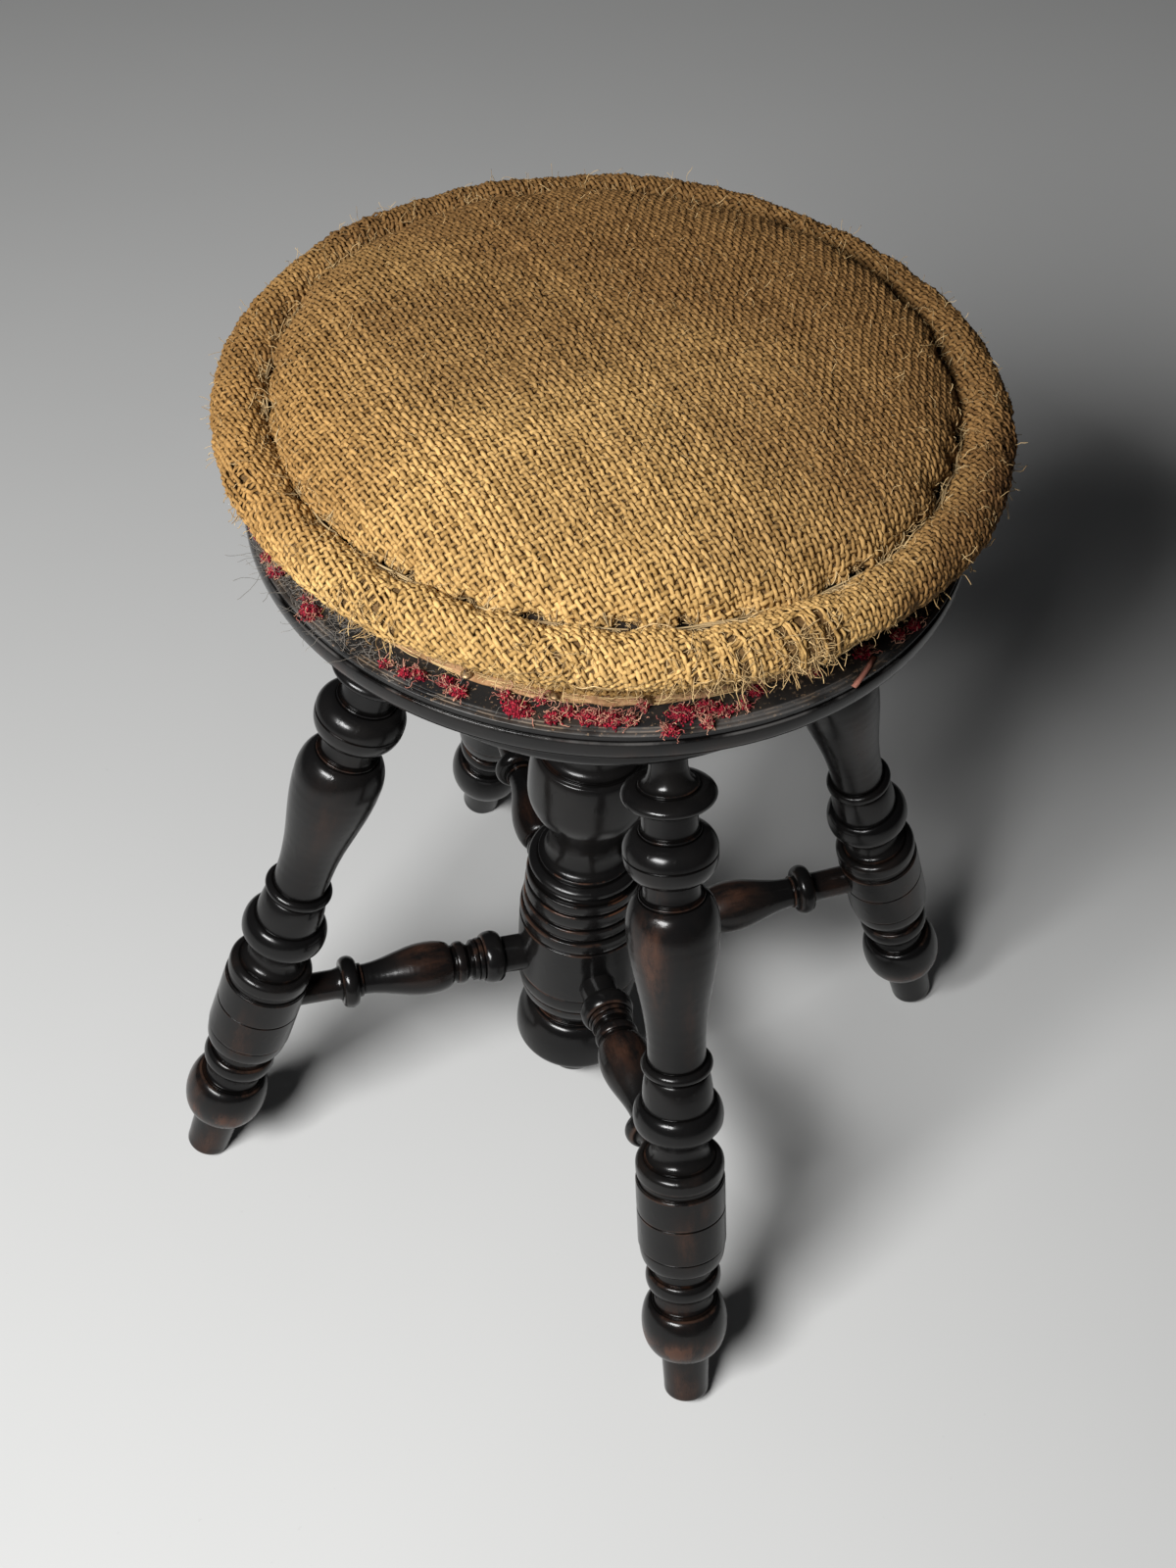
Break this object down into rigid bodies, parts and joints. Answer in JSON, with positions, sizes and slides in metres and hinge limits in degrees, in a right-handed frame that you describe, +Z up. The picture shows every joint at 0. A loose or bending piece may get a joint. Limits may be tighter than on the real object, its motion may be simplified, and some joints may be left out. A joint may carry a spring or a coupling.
{
  "type": "revolving piano stool",
  "caption": "Round stuffed seat on a lift screw that winds into a turned column, with splayed turned legs under a round block and turned stretchers from column to legs.",
  "frame": {"origin": "on the floor at the stool's centre line", "axes": "+Z up along the lift screw; the front leg stands on -Y and the right leg on +X"},
  "size_m": [0.4596, 0.4596, 0.5257],
  "materials": {
    "ebonised_wood": "ebonised and waxed, satin, worn brown on the beads",
    "iron": "dark, oiled",
    "leather": "dry, worn",
    "horsehair": "curled hair",
    "hessian": "open plain weave, stained and frayed",
    "tack_brass": "tarnished",
    "velvet": "torn and frayed"
  },
  "bodies": {
    "base": {"leg_block": "ebonised_wood", "column": "ebonised_wood", "leg_front": "ebonised_wood", "leg_right": "ebonised_wood", "leg_back": "ebonised_wood", "leg_left": "ebonised_wood", "stretcher_front": "ebonised_wood", "stretcher_right": "ebonised_wood", "stretcher_back": "ebonised_wood", "stretcher_left": "ebonised_wood", "screw_nut": "iron", "nut_screws": "iron"},
    "lift": {"thrust_washer": "leather"},
    "seat": {"seat_board": "ebonised_wood", "seat_plate": "iron", "seat_plate_screws": "iron", "lift_screw": "iron", "stuffing": "horsehair", "hessian_cover": "hessian", "edge_roll": "hessian", "border_band": "hessian", "upholstery_tacks": "tack_brass", "velvet_remnants": "velvet"}
  },
  "joints": [
    {"name": "seat_lift", "type": "slide", "parent": "base", "child": "lift", "axis": [0, 0, 1], "range_m": [0, 0.12]},
    {"name": "seat_turn", "type": "hinge", "parent": "lift", "child": "seat", "pos_m": [0, 0, 0.42], "axis": [0, 0, 1], "range_deg": [0, 5400]}
  ],
  "couplings": [
    {"joint": "seat_lift", "follows": "seat_turn", "m_per_rad": 0.0012732}
  ]
}
